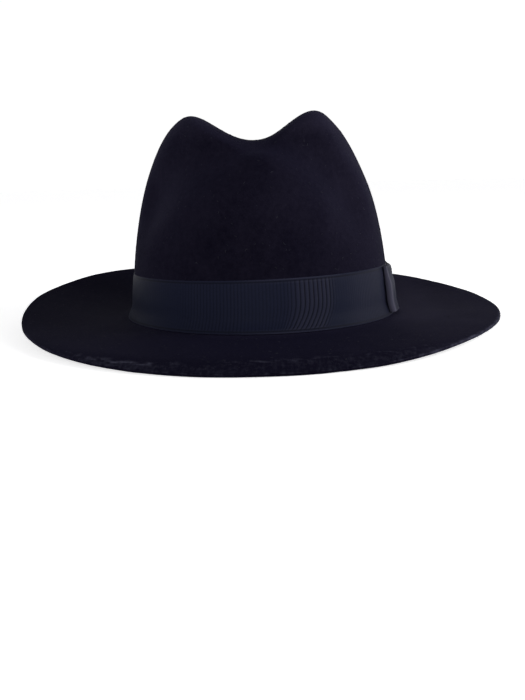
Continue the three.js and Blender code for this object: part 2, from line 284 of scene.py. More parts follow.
def studio_paper():
    """Matt white card for the floor: no gloss, so it only takes the hat's soft shadow."""
    material, tree, shader = new_material("matt white card", {"Roughness": 0.9, "Specular IOR Level": 0.1})
    place = add_node(tree, "ShaderNodeTexCoord", {}, {}).outputs["Object"]
    grain = add_node(tree, "ShaderNodeTexNoise", {"Scale": 1 / (4 * MM)}, {"Vector": place})
    colour = add_node(tree, "ShaderNodeMix", {"data_type": "RGBA",
                                              MIX_A: bpy.context.scene.hat_stage.floor_colour,
                                              MIX_B: linear("#f6f6f6")},
                      {"Factor": grain.outputs["Fac"]})
    tree.links.new(colour.outputs[MIX_RESULT], shader.inputs["Base Color"])
    shader.inputs["Emission Color"].default_value = linear("#ffffff")
    shader.inputs["Emission Strength"].default_value = FLOOR_GLOW
    return material


# Meshes
SHARP_ANGLE = math.radians(60)
MERGE_DISTANCE = 0.002 * MM


def merged_copy(node):
    """A copy of a CAD node's mesh, its corners joined and its triangles paired into four-sided faces."""
    form = bmesh.new()
    form.from_mesh(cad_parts[node].data)
    bmesh.ops.remove_doubles(form, verts=form.verts, dist=MERGE_DISTANCE)
    bmesh.ops.join_triangles(
        form, faces=form.faces, angle_face_threshold=math.pi, angle_shape_threshold=math.pi
    )
    return form


def sharp_edges(form):
    """Edges where two faces meet at a sharp angle."""
    return [e for e in form.edges if e.is_manifold and e.calc_face_angle() > SHARP_ANGLE]


def cut_edges(form):
    """The two sharp edges round the outside of the brim, where its felt was cut."""
    return [e for e in sharp_edges(form) if min(v.co.xy.length for v in e.verts) > CROWN_REACH]


def as_mesh(form, name):
    """A mesh made from a bmesh, which is freed."""
    mesh = bpy.data.meshes.new(name)
    form.to_mesh(mesh)
    form.free()
    return mesh


def subdivided(mesh, levels):
    """The mesh with a subdivision surface applied."""
    carrier = bpy.data.objects.new(mesh.name, mesh)
    bpy.context.scene.collection.objects.link(carrier)
    surface = carrier.modifiers.new("surface", "SUBSURF")
    surface.levels = surface.render_levels = levels
    finished = bpy.data.meshes.new_from_object(carrier.evaluated_get(bpy.context.evaluated_depsgraph_get()))
    bpy.data.objects.remove(carrier)
    return finished


def add_piece(name, mesh, material, slot, *nodes):
    """Puts a finished mesh in the scene, riding on the hat, in place of the CAD nodes named."""
    piece = bpy.data.objects.new(name, mesh)
    bpy.context.scene.collection.objects.link(piece)
    mesh.materials.clear()
    mesh.materials.append(material)
    mesh.shade_smooth()
    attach(piece, "root")
    if nodes:
        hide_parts(*nodes)
    return piece


def search_tree(points):
    """A tree that finds the nearest of many points."""
    tree = kdtree.KDTree(len(points))
    for index, point in enumerate(points):
        tree.insert(point, index)
    tree.balance()
    return tree


# Felt body
FELT_ROUNDING = 0.35 * MM
FELT_LEVELS = 2
CROWN_REACH = 120 * MM  # the crown and the bend lie nearer the middle than this
CROWN_HALF_WIDTH = 88 * MM
CROWN_HALF_LENGTH = 104 * MM
BRIM_HALF_WIDTH = 154 * MM
BRIM_HALF_LENGTH = 167 * MM
EDGE_STEPS = 8  # points along each of the CAD's edges round the brim
LIP_WIDTH = 15 * MM  # from the brim's cut edge to the crest of its snapped front lip
LIP_HALF_ANGLE = 52  # how far round from the front the lip runs, in degrees
FOOT_GROOVE = 0.5 * MM  # how deep the ribbon's foot has pressed into the felt
FOOT_GROOVE_WIDTH = 1.2 * MM
FOOT_STEP = 0.05  # from one point to the next along the foot, as a share of the CAD's own steps
BLOCKED_WAVE = 38 * MM  # size of the unevenness that hand blocking leaves
CUT_WAVE = 6 * MM  # size and height of the unevenness of the cut edge, and how far in it reaches
CUT_WAVE_HEIGHT = 0.1 * MM
CUT_WAVE_REACH = 4 * MM
FREE_OF_RIBBON = (3 * MM, 16 * MM)  # the felt under the ribbon and beside it keeps its even shape
UNEVENNESS_SEED = 1  # without it the vector noise starts from the clock and each run differs


def cut_edge_points():
    """Points along the brim's cut edge, from the CAD's own corners."""
    form = merged_copy("felt_body")
    points = []
    for edge in cut_edges(form):
        ends = [v.co.copy() for v in edge.verts]
        points += [ends[0].lerp(ends[1], step / EDGE_STEPS) for step in range(EDGE_STEPS)]
    form.free()
    return points


def lip_width_at(point):
    """Width of the snapped lip beside a point of the brim, which runs out towards the sides."""
    from_front = math.degrees(abs(math.atan2(point.x / BRIM_HALF_WIDTH, -point.y / BRIM_HALF_LENGTH)))
    return LIP_WIDTH * max(1 - (from_front / LIP_HALF_ANGLE) ** 2, 0)


# How rubbed the lip's crest is, and how far the lip's face below it is painted paler as painted light, across
# the front of the brim from the hat's right to its left.
LIP_PLACES = [x * MM for x in (-110, -80, -72, -48, -40, -10, 2, 38, 48, 64, 84)]
CREST_RUB = [0.4, 0.8, 1.05, 1.0, 0.6, 0.5, 0.6, 0.55, 0.3, 0.5, 0.35]
PAINTED_LIGHT_BELOW_CREST = [0.25, 0.45, 0.45, 0.35, 0.3, 0.28, 0.28, 0.28, 0.28, 0.28, 0.3]
# Where the rubbed line runs, as a share of the lip's width: nearer the cut edge on the hat's right.
CREST_SHARE = [0.35, 0.4, 0.4, 0.5, 0.6, 0.8, 0.85, 0.95, 1, 1, 1]
CREST_ABOVE, CREST_BELOW = 3.5 * MM, 1.5 * MM  # how far the rubbing of the crest fades out on either side
CREST_WANDER, WANDER_LENGTH = 1.2 * MM, 9 * MM  # how far the rubbed line strays, and over what length
CREST_BREAK = 2.5 * MM  # size of the gaps in it
BREAK_SHIFT = Vector((3, 0, 0))  # keeps the gaps apart from the straying
BREAK_RANGE = (-0.3, 0.25)  # noise values from a gap to a whole line
CREST_START = 3 * MM  # width of lip at which the rubbed line is whole
RAW_RUB, RAW_RUB_LEFT = 0.45, 0.7  # of the cut edge all round, and added to it on the hat's left
RAW_WIDTH, RAW_WIDTH_LEFT = 0.8 * MM, 0.8 * MM
RAW_PLACES_LEFT = (70 * MM, 120 * MM)
BELOW_START = 2 * MM
UPPER_SIDE = (-0.1, 0.2)  # upward parts of the normal from the lower to the upper side


def wear_and_painted_light_at(point, edge_distance, upwards):
    """How scuffed the felt is at its raw edge and, on its upper side, at the lip's crest, with painted light
    on the lip's face below the crest.
    """
    broken = smooth_step(noise.noise(point / CREST_BREAK + BREAK_SHIFT), *BREAK_RANGE)
    on_left = smooth_step(point.x, *RAW_PLACES_LEFT)
    raw_width = RAW_WIDTH + RAW_WIDTH_LEFT * on_left
    raw = (RAW_RUB + RAW_RUB_LEFT * on_left * broken) * math.exp(-((edge_distance / raw_width) ** 2))
    line = lip_width_at(point) * float(np.interp(point.x, LIP_PLACES, CREST_SHARE))
    above = edge_distance - line + CREST_WANDER * noise.noise(point / WANDER_LENGTH)
    crest = math.exp(-((above / (CREST_ABOVE if above > 0 else CREST_BELOW)) ** 2))
    crest *= smooth_step(line, 0, CREST_START) * broken * float(np.interp(point.x, LIP_PLACES, CREST_RUB))
    # Painted light: the lip's face below its crest faces the front light and is painted paler.
    below = float(np.interp(point.x, LIP_PLACES, PAINTED_LIGHT_BELOW_CREST))
    below *= smooth_step(line - edge_distance, 0, BELOW_START)
    return max(raw, max(crest, below) * smooth_step(upwards, *UPPER_SIDE))


# How far the felt is painted paler than on the crown's front: painted light where the main light falls, and
# painted shade on the brim. Left and right are the hat's own, and a pair of lengths is the range over which a
# value changes.
BRIM_STARTS = (1, 1.1)  # in half widths and half lengths of the crown
PEAK_PAINTED_LIGHTING_LEFT, PEAK_PAINTED_LIGHTING_RIGHT = 1.4, 0.95
PEAK_HEIGHTS = (110 * MM, 127 * MM)
SHOULDER_PAINTED_LIGHTING_LEFT, SHOULDER_PAINTED_LIGHTING_RIGHT = 0.7, 0.3
SIDE_PAINTED_LIGHTING_LEFT = 0.2  # at all heights of the crown
SHOULDER_WIDTHS_LEFT, SHOULDER_HEIGHTS_LEFT = (25 * MM, 80 * MM), (55 * MM, 105 * MM)
SHOULDER_WIDTHS_RIGHT, SHOULDER_HEIGHTS_RIGHT = (25 * MM, 60 * MM), (45 * MM, 75 * MM)
BRIM_PAINTED_LIGHTING, BRIM_PAINTED_LIGHTING_LEFT, BRIM_WIDTHS_LEFT = -0.6, 0.7, (70 * MM, 110 * MM)
BOW_PAINTED_LIGHTING, BOW_LENGTHS = 2, (-90 * MM, -20 * MM)
BOW_WIDTHS_NEAR, BOW_WIDTHS_FAR = (60 * MM, 85 * MM), (90 * MM, 130 * MM)
RIM_PAINTED_LIGHTING, RIM_WIDTHS = -0.3, (115 * MM, 150 * MM)


def painted_lighting_at(point):
    """Painted light and shade on the felt: paler on the peaks, the crown's sides and the brim beside the bow,
    darker on the rest of the brim.
    """
    x, y, z = point
    on_brim = smooth_step(math.hypot(x / CROWN_HALF_WIDTH, y / CROWN_HALF_LENGTH), *BRIM_STARTS)
    high = smooth_step(z, *PEAK_HEIGHTS)
    if x > 0:
        peaks = PEAK_PAINTED_LIGHTING_LEFT * high
        side = SIDE_PAINTED_LIGHTING_LEFT + SHOULDER_PAINTED_LIGHTING_LEFT * smooth_step(z, *SHOULDER_HEIGHTS_LEFT)
        shoulder = side * smooth_step(x, *SHOULDER_WIDTHS_LEFT)
    else:
        peaks = PEAK_PAINTED_LIGHTING_RIGHT * high
        side = SHOULDER_PAINTED_LIGHTING_RIGHT * smooth_step(z, *SHOULDER_HEIGHTS_RIGHT)
        shoulder = side * smooth_step(-x, *SHOULDER_WIDTHS_RIGHT)
    brim = BRIM_PAINTED_LIGHTING + BRIM_PAINTED_LIGHTING_LEFT * smooth_step(x, *BRIM_WIDTHS_LEFT)
    beside_bow = smooth_step(x, *BOW_WIDTHS_NEAR) * smooth_step(y, *BOW_LENGTHS)
    brim += BOW_PAINTED_LIGHTING * beside_bow * (1 - smooth_step(x, *BOW_WIDTHS_FAR))
    brim += RIM_PAINTED_LIGHTING * smooth_step(x, *RIM_WIDTHS)
    return (1 - on_brim) * max(peaks, shoulder) + on_brim * brim


class HAT_OT_felt_body(bpy.types.Operator):
    """Smooths the crown and brim, keeps the square cut edge and leaves the felt slightly uneven"""

    bl_idname = "hat.felt_body"
    bl_label = "Felt body"

    def execute(self, context):
        form = merged_copy("felt_body")
        edges = cut_edges(form)
        if not edges:
            raise RuntimeError("the brim has no cut edge to round")
        bmesh.ops.bevel(
            form, geom=edges, affect="EDGES", offset=FELT_ROUNDING, segments=2, profile=0.5, material=-1
        )
        mesh = subdivided(as_mesh(form, "felt"), FELT_LEVELS)
        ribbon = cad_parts["ribbon_band"].data
        near_ribbon = search_tree([v.co for v in ribbon.vertices])
        near_edge = search_tree(cut_edge_points())
        foot = outer_rows("ribbon_band")[0]
        near_foot = search_tree(curve_through(foot, np.arange(0, len(foot), FOOT_STEP), True))
        mesh.attributes.new("wear_and_painted_light", "FLOAT", "POINT")
        mesh.attributes.new("painted_lighting", "FLOAT", "POINT")
        unevenness = context.scene.hat_felt.unevenness
        upwards = [vertex.normal.z for vertex in mesh.vertices]
        noise.seed_set(UNEVENNESS_SEED)
        for vertex in mesh.vertices:
            point = vertex.co.copy()
            edge_distance = near_edge.find(point)[2]
            free = smooth_step(near_ribbon.find(point)[2], *FREE_OF_RIBBON)
            shift = noise.noise_vector(point / BLOCKED_WAVE) * unevenness * free
            near_cut = math.exp(-edge_distance / CUT_WAVE_REACH)
            shift += noise.noise_vector(point / CUT_WAVE) * CUT_WAVE_HEIGHT * near_cut
            shift.z -= FOOT_GROOVE * math.exp(-((near_foot.find(point)[2] / FOOT_GROOVE_WIDTH) ** 2))
            worn_and_lit = wear_and_painted_light_at(point, edge_distance, upwards[vertex.index])
            vertex.co = point + shift
            mesh.attributes["wear_and_painted_light"].data[vertex.index].value = worn_and_lit
            # Painted light and shade on the felt.
            mesh.attributes["painted_lighting"].data[vertex.index].value = painted_lighting_at(point)
        add_piece("felt_shell", mesh, wool_felt(), "wool_felt", "felt_body")
        return {"FINISHED"}


# Loose fibres on the felt
FIBRE_RADIUS = 0.035 * MM
FIBRE_TIP = 0.35  # thickness of a fibre's tip, as a share of its root's
FIBRE_ROOT = 0.05 * MM  # how deep a fibre stands in the felt
FIBRE_LEAN = 0.75
FIBRE_LEAST_RISE = 0.15  # a fibre that lies flatter than this is raised
FIBRE_LENGTHS = (0.25, 1)  # shares of the longest
NAP_LENGTH = 0.35  # how long a fibre is on unworn felt, as a share of one on worn felt
NAP_DENSITY, WORN_DENSITY = 0.25, 4
FIBRE_SEED, LINT_SEED = 7, 19
LINT_RADIUS = 0.05 * MM
LINT_CURL = 10  # radius of a curled fibre's arc, in its own radii
LINT_ARC = math.radians(110)
LINT_SIZES = (0.4, 1.8)
UPWARD = 0.02  # lint lies on faces that look up more than this


def fibre_shape():
    """A short tapering fibre, 1 long, that stands on its root."""
    form = bmesh.new()
    bmesh.ops.create_cone(
        form, cap_ends=True, segments=3, radius1=1, radius2=FIBRE_TIP, depth=1,
        matrix=Matrix.Translation((0, 0, 0.5)),
    )
    return as_mesh(form, "fibre")


def lint_shape():
    """A curled fibre that lies flat: an arc of a thin tube with a radius of 1."""
    form = bmesh.new()
    section = bmesh.ops.create_circle(
        form, cap_ends=True, segments=4, radius=1,
        matrix=Matrix.Translation((LINT_CURL, 0, 0)) @ Matrix.Rotation(math.pi / 2, 4, "X"),
    )
    bmesh.ops.spin(
        form, geom=section["verts"] + form.edges[:] + form.faces[:], cent=(0, 0, 0), axis=(0, 0, 1),
        angle=LINT_ARC, steps=5,
    )
    bmesh.ops.recalc_face_normals(form, faces=form.faces)
    return as_mesh(form, "lint")


def joined_copies(name, shape, places):
    """One mesh of many copies of a small shape, each put in its place by a matrix."""
    whole = bmesh.new()
    for place in places:
        copy = shape.copy()
        copy.transform(place)
        whole.from_mesh(copy)
        bpy.data.meshes.remove(copy)
    return as_mesh(whole, name)


def standing_at(point, direction, width, length):
    """Matrix that stands a shape on a point, along a direction."""
    turn = direction.to_track_quat("Z", "Y").to_matrix().to_4x4()
    return Matrix.Translation(point) @ turn @ Matrix.Diagonal((width, width, length, 1))


def fibre_places(mesh, settings):
    """Where loose fibres stand: thickly where the felt is scuffed, on the cut edge and on the painted-light
    face below the lip's crest, thinly over the nap.
    """
    generator = np.random.default_rng(FIBRE_SEED)
    wear_and_painted_light = mesh.attributes["wear_and_painted_light"].data
    faces = mesh.polygons
    weights = []
    for face in faces:
        worn_and_lit = sum(wear_and_painted_light[i].value for i in face.vertices) / len(face.vertices)
        weights.append(face.area * (NAP_DENSITY + WORN_DENSITY * worn_and_lit))
    weights = np.array(weights)
    for index in generator.choice(len(faces), settings.fuzz_count, p=weights / weights.sum()):
        face = faces[int(index)]
        corners = [mesh.vertices[i].co for i in face.vertices]
        shares = generator.dirichlet([1] * len(corners))
        point = sum((c * s for c, s in zip(corners, shares)), Vector())
        worn_and_lit = wear_and_painted_light[face.vertices[0]].value
        lean = Vector(generator.normal(0, FIBRE_LEAN, 3))
        direction = (face.normal + lean).normalized()
        if direction.dot(face.normal) < FIBRE_LEAST_RISE:
            direction = (direction + face.normal).normalized()
        length = settings.fuzz_length * generator.uniform(*FIBRE_LENGTHS)
        length *= NAP_LENGTH + (1 - NAP_LENGTH) * worn_and_lit
        yield standing_at(point - face.normal * FIBRE_ROOT, direction, FIBRE_RADIUS, length)


def lint_places(mesh, settings):
    """Where specks of lint lie: anywhere on the upper side of the felt."""
    generator = np.random.default_rng(LINT_SEED)
    faces = [f for f in mesh.polygons if f.normal.z > UPWARD]
    weights = np.array([f.area for f in faces])
    for index in generator.choice(len(faces), settings.lint_count, p=weights / weights.sum()):
        face = faces[int(index)]
        size = generator.uniform(*LINT_SIZES) * LINT_RADIUS
        turn = Matrix.Rotation(generator.uniform(0, math.tau), 4, "Z")
        yield standing_at(face.center + face.normal * LINT_RADIUS, face.normal, size, size) @ turn


class HAT_OT_felt_fibres(bpy.types.Operator):
    """Adds the loose fibres of the nap and the cut edge, and specks of lint"""

    bl_idname = "hat.felt_fibres"
    bl_label = "Felt fibres"

    def execute(self, context):
        felt = bpy.data.objects.get("felt_shell")
        if not felt:
            raise RuntimeError("the felt body comes before its fibres")
        settings = context.scene.hat_felt
        fuzz = joined_copies("fuzz", fibre_shape(), fibre_places(felt.data, settings))
        add_piece("felt_fuzz", fuzz, loose_fibre("loose wool fibre", "#3c3e4a"), "wool_felt")
        lint = joined_copies("lint", lint_shape(), lint_places(felt.data, settings))
        add_piece("felt_lint", lint, loose_fibre("pale lint", "#35363f"), "wool_felt")
        return {"FINISHED"}


# Ribbon
RIB_STEPS = 6  # columns of faces on each rib
MIDDLE_STEPS = 14  # rows of faces between the two selvedges
SELVEDGE = 0.9 * MM
SELVEDGE_CORD = 0.08 * MM
# Rows of the selvedge, measured in from the rim: a pale cord, a narrow groove, and a fainter second line. The
# cord and the second line are painted highlights, and the groove is painted shade.
SELVEDGE_ROWS = [0, 0.35 * MM, 0.8 * MM, 1.3 * MM, 2 * MM, 2.8 * MM]
SELVEDGE_HIGHLIGHT = [0.25, 0.4, 0.17, 0, 0.12, 0]
SELVEDGE_GROOVE = [0, 0, 0.3, 0.7, 0, 0]
RIB_CREST_HIGHLIGHT = 0.18  # painted highlight on the crests of the most standing ribs
SEAM_DISTANCE = 0.0005 * MM
FORWARD = 0.1  # how far being at the front counts against being low, for a ring's first point


def outer_rows(node):
    """The outer skin of a ring of ribbon, as rows of points from its lower edge upwards.
    Each row goes once round it, counterclockwise seen from above."""
    form = merged_copy(node)
    bmesh.ops.split_edges(form, edges=sharp_edges(form))
    sides, seen = [], set()
    for face in form.faces:
        if face in seen:
            continue
        side, waiting = [], [face]
        seen.add(face)
        while waiting:
            side.append(waiting.pop())
            for edge in side[-1].edges:
                for other in edge.link_faces:
                    if other not in seen:
                        seen.add(other)
                        waiting.append(other)
        sides.append(side)
    outer = max(sides, key=lambda side: sum(f.calc_area() for f in side))
    bmesh.ops.delete(form, geom=[f for f in form.faces if f not in set(outer)], context="FACES")
    form.normal_update()
    rim = [v for v in form.verts if v.is_boundary]
    start = min(rim, key=lambda v: v.co.z + FORWARD * v.co.y)
    row = [start]
    while True:
        ahead = [e.other_vert(row[-1]) for e in row[-1].link_edges if e.is_boundary]
        ahead = [v for v in ahead if v not in row]
        if not ahead:
            break
        row.append(ahead[0])
    rows, seen = [row], set(row)
    while True:
        above = [[e.other_vert(v) for e in v.link_edges if e.other_vert(v) not in seen] for v in rows[-1]]
        if not all(above):
            break
        rows.append([found[0] for found in above])
        seen.update(rows[-1])
    points = np.array([[v.co[:] for v in row] for row in rows])
    form.free()
    x, y = points[0, :, 0], points[0, :, 1]
    clockwise = np.sum(x * np.roll(y, -1) - y * np.roll(x, -1)) < 0
    return points[:, ::-1] if clockwise else points


def curve_through(points, places, closed):
    """Smooth curve through an array of points, read at places counted in points."""
    count = len(points)
    start = np.floor(places).astype(int)
    if not closed:
        start = np.clip(start, 0, count - 2)
    share = (places - start).reshape(-1, *[1] * (points.ndim - 1))

    def at(index):
        if closed:
            return points[index % count]
        inside = np.clip(index, 0, count - 1)
        past = (index - inside).reshape(share.shape)
        ends = np.where(past < 0, points[0] - points[1], points[-1] - points[-2])
        return points[inside] + np.abs(past) * ends

    before, a, b, after = (at(start + step) for step in (-1, 0, 1, 2))
    leaving, arriving = (b - before) / 2, (after - a) / 2
    rise = b - a
    square = 3 * rise - 2 * leaving - arriving
    cube = leaving + arriving - 2 * rise
    return a + share * (leaving + share * (square + share * cube))


def across_places(width):
    """Heights of the rows of faces across a ribbon, close together at its two selvedges."""
    rim = np.array(SELVEDGE_ROWS)
    middle = np.linspace(rim[-1], width - rim[-1], MIDDLE_STEPS + 1)
    return np.concatenate([rim, middle[1:-1], width - rim[::-1]])


def ribbon_mesh(name, rows, settings, slide, strength, rim_highlight, lift):
    """Lays ribbed ribbon along rows of points that go round a ring.
    slide(home, share) moves the ribs along it from where their middles lie, and strength(home) says how deep
    they are. The third function says how strong the painted highlight on the selvedges is, and lift(point,
    across, width) moves the cloth outwards."""
    heights = np.concatenate([[0], np.cumsum(np.linalg.norm(np.diff(rows, axis=0), axis=2).mean(1))])
    middle = rows[len(rows) // 2]
    steps = np.linalg.norm(np.roll(middle, -1, axis=0) - middle, axis=1)
    lengths = np.concatenate([[0], np.cumsum(steps)])
    girth, width = lengths[-1], heights[-1]
    columns = round(girth / settings.rib_pitch) * RIB_STEPS
    across = across_places(width)
    levels = curve_through(rows, np.interp(across, heights, np.arange(len(heights))), False)
    places = np.arange(columns) * girth / columns

    def laid_along(row, along):
        return curve_through(row, np.interp(np.mod(along, girth), lengths, np.arange(len(lengths))), True)

    home = laid_along(middle, places)
    surface = [
        laid_along(level, places + slide(home, height / width)) for level, height in zip(levels, across)
    ]
    depth = strength(home)
    rim = rim_highlight(home)

    form = bmesh.new()
    last = len(across) - 1
    bmesh.ops.create_grid(form, x_segments=columns, y_segments=last, size=0.5)
    laid = form.loops.layers.uv.new("laid")
    rib = form.verts.layers.float.new("rib")
    painted_highlight = form.verts.layers.float.new("painted_highlight")
    out = form.verts.layers.float.new("out")
    for vertex in form.verts:
        column = round((vertex.co.x + 0.5) * columns)
        row = round((vertex.co.y + 0.5) * last)
        for loop in vertex.link_loops:
            loop[laid].uv = (places[1] * column, across[row])
        from_rim = min(across[row], width - across[row])
        phase = (column % RIB_STEPS) / RIB_STEPS
        crest = math.sqrt(1 - (2 * phase - 1) ** 2) if phase else 0.0
        ribbed = smooth_step(from_rim, SELVEDGE, 2 * SELVEDGE) * depth[column % columns]
        # Painted highlight on the crests of the deepest ribs.
        lightened = RIB_CREST_HIGHLIGHT * ribbed ** 2 * crest
        rim_painted_highlight = float(np.interp(from_rim, SELVEDGE_ROWS, SELVEDGE_HIGHLIGHT)) * rim[column % columns]
        vertex[painted_highlight] = rim_painted_highlight + lightened
        # Painted shade: the grooves between ribs and the selvedge's groove are painted darker.
        groove = float(np.interp(from_rim, SELVEDGE_ROWS, SELVEDGE_GROOVE))
        vertex[rib] = (1 - ribbed * (1 - crest)) * (1 - groove)
        vertex.co = surface[row][column % columns]
        cord = SELVEDGE_CORD * (1 - smooth_step(from_rim, 0.5 * SELVEDGE, SELVEDGE))
        vertex[out] = settings.rib_depth * ribbed * crest + cord + lift(vertex.co, across[row], width)
    bmesh.ops.remove_doubles(form, verts=form.verts, dist=SEAM_DISTANCE)
    form.normal_update()
    moves = [(v, v.normal * v[out]) for v in form.verts]
    for vertex, move in moves:
        vertex.co += move
    return as_mesh(form, name), width, girth


def give_thickness(piece, thickness):
    """Thickens a skin of ribbon inwards."""
    wall = piece.modifiers.new("thickness", "SOLIDIFY")
    wall.thickness = thickness
    wall.offset = -1


# Ribbon band
# The ribbon is too stiff to follow the bend between crown and brim, so these rows of the CAD's skin leave
# it out.
BAND_ROWS = [0, 3, 4, 5]
# How deep the ribs of the band stand across its front, from the hat's right to its left, and elsewhere.
# Handling and steam have pressed the rest of them nearly flat.
RIB_PLACES = [x * MM for x in (-80, -60, -45, -32, -8, 2, 19, 27, 38, 43, 80)]
RIB_DEPTHS = [0.3, 0.08, 0.08, 0.5, 0.45, 0.3, 0.45, 1, 1, 0.1, 0.3]
RIB_DEPTH_ELSEWHERE = 0.35
FRONT_EDGE = -30 * MM  # the front of the hat lies before this
# Painted highlight on the band's selvedges, strongest on the hat's left front, which faces the main light.
BAND_RIM_PLACES, BAND_RIM_HIGHLIGHTS = [x * MM for x in (-10, 25, 35, 50)], [0.25, 0.85, 0.7, 0.2]
# Painted light on the band's left front beside the bow, which faces the main light.
BAND_SIDE_PAINTED_LIGHT, BAND_SIDE_PAINTED_LIGHT_WIDTHS = 0.12, (50 * MM, 66 * MM)
# How far the ribs are moved along the band, and how far they are pulled aside at its foot.
SPREAD, SPREAD_PLACES, SPREAD_SHARES = 6.5 * MM, [x * MM for x in (23, 39, 50, 84)], [0, 1, 1, 0]
LEAN_PLACES = [x * MM for x in (5, 18, 28, 44, 76)]
LEANS = [length * MM for length in (1, 4.5, 8.5, 9.5, 1.5)]
LEAN_HEIGHT = 0.6  # the ribs lean below this share of the ribbon's width
# How far the cloth stands out or is drawn in, and over what part of its width.
ROLL, ROLL_PLACE, ROLL_WIDTH = 0.35 * MM, 5 * MM, 3 * MM
TUCK, TUCK_WIDTH = -0.3 * MM, 2 * MM
TIGHT, TIGHT_WIDTH = -0.28 * MM, 5 * MM


def band_strength(home):
    """How deep the band's ribs are, as a share of the deepest."""
    front = np.interp(home[:, 0], RIB_PLACES, RIB_DEPTHS)
    return np.where(home[:, 1] < FRONT_EDGE, front, RIB_DEPTH_ELSEWHERE)


def band_rim_highlight(home):
    """Painted highlight on the selvedges, strongest on the hat's left."""
    return np.interp(home[:, 0], BAND_RIM_PLACES, BAND_RIM_HIGHLIGHTS)


def paint_light_beside_bow(mesh):
    """Paints light on the band's left front, just before the bow, where it faces the main light."""
    painted_highlight = mesh.attributes["painted_highlight"].data
    for vertex in mesh.vertices:
        if vertex.co.y < 0:
            value = painted_highlight[vertex.index]
            value.value = max(value.value, BAND_SIDE_PAINTED_LIGHT * smooth_step(vertex.co.x, *BAND_SIDE_PAINTED_LIGHT_WIDTHS))


def band_slide(home, share):
    """The ribs spread apart on the hat's left front, and are pulled towards its right near the foot."""
    side = home[:, 0] * (home[:, 1] < 0)
    spread = SPREAD * np.interp(side, SPREAD_PLACES, SPREAD_SHARES)
    lean = np.interp(side, LEAN_PLACES, LEANS)
    return spread - lean * max(1 - share / LEAN_HEIGHT, 0) ** 2


def band_lift(point, across, width):
    """The foot rolls out and tucks in at its very edge, and the top is drawn tight against the felt."""
    roll = ROLL * math.exp(-(((across - ROLL_PLACE) / ROLL_WIDTH) ** 2))
    tuck = TUCK * (1 - smooth_step(across, 0, TUCK_WIDTH))
    tight = TIGHT * smooth_step(across, width - TIGHT_WIDTH, width)
    return roll + tuck + tight


class HAT_OT_ribbon_band(bpy.types.Operator):
    """Lays the ribbed ribbon round the foot of the crown"""

    bl_idname = "hat.ribbon_band"
    bl_label = "Ribbon band"

    def execute(self, context):
        settings = context.scene.hat_ribbon
        rows = outer_rows("ribbon_band")[BAND_ROWS]
        mesh, width, girth = ribbon_mesh(
            "band", rows, settings, band_slide, band_strength, band_rim_highlight, band_lift
        )
        paint_light_beside_bow(mesh)
        piece = add_piece("ribbon_round_crown", mesh, ribbed_ribbon(), "ribbon", "ribbon_band")
        give_thickness(piece, settings.thickness)
        return {"FINISHED"}


# Bow
BOW_RIB_DEPTH = 0.35
FOLD_WIDTH = 8 * MM  # width of the painted highlight on a fold, in from the end of the bow
# Painted light a little over the bow's whole outer face and the knot.
FACE_PAINTED_LIGHT = 0.2
GATHERS, GATHER_HEIGHT, GATHER_REACH = 3, 0.35 * MM, 6 * MM
WRAP_LEVELS = 4


def no_slide(home, share):
    """The bow's ribs run straight across it."""
    return 0


def bow_strength(home):
    """The bow's ribs are as deep all along it."""
    return np.full(len(home), BOW_RIB_DEPTH)


def bow_rim_highlight(home):
    """The painted highlight on the bow's selvedges is as strong all along it."""
    return np.ones(len(home))


def loop_lift(point, across, width):
    """Small gathers run out from under the knot."""
    low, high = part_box("bow_knot")
    from_knot = max(abs(point.y - (low.y + high.y) / 2) - (high.y - low.y) / 2, 0)
    wave = math.cos(math.tau * GATHERS * across / width)
    return GATHER_HEIGHT * math.exp(-from_knot / GATHER_REACH) * wave


def paint_highlight_on_folds(mesh):
    """Paints highlights on the two folds at the ends of the bow, and painted light a little over its outer
    face.
    """
    low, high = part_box("bow_loop")
    painted_highlight = mesh.attributes["painted_highlight"].data
    for vertex in mesh.vertices:
        from_end = min(vertex.co.y - low.y, high.y - vertex.co.y)
        fold = 1 - smooth_step(from_end, 0.5 * FOLD_WIDTH, FOLD_WIDTH)
        value = painted_highlight[vertex.index]
        value.value = min(max(value.value, fold, FACE_PAINTED_LIGHT), 1)


class HAT_OT_side_bow(bpy.types.Operator):
    """Makes the flat bow's loop and the knot round its middle"""

    bl_idname = "hat.side_bow"
    bl_label = "Side bow"

    def execute(self, context):
        settings = context.scene.hat_ribbon
        mesh, width, girth = ribbon_mesh(
            "loop", outer_rows("bow_loop"), settings, no_slide, bow_strength, bow_rim_highlight, loop_lift
        )
        paint_highlight_on_folds(mesh)
        loop = add_piece("flat_bow", mesh, ribbed_ribbon(), "ribbon", "bow_loop")
        give_thickness(loop, settings.thickness)
        knot_mesh = subdivided(as_mesh(merged_copy("bow_knot"), "knot"), WRAP_LEVELS)
        knot_mesh.attributes.new("rib", "FLOAT", "POINT")
        knot_mesh.attributes.new("painted_highlight", "FLOAT", "POINT")
        knot_mesh.uv_layers.new(name="laid")
        for vertex, normal in zip(knot_mesh.vertices, [v.normal.copy() for v in knot_mesh.vertices]):
            # Painted shade between the knot's ribs.
            phase = (vertex.co.z / settings.rib_pitch) % 1
            crest = math.sqrt(1 - (2 * phase - 1) ** 2)
            knot_mesh.attributes["rib"].data[vertex.index].value = crest
            # Painted light: the knot is painted as pale as the bow's face.
            knot_mesh.attributes["painted_highlight"].data[vertex.index].value = FACE_PAINTED_LIGHT
            vertex.co += normal * settings.rib_depth * crest
        knot = add_piece("bow_wrap", knot_mesh, ribbed_ribbon(), "ribbon", "bow_knot")
        return {"FINISHED"}


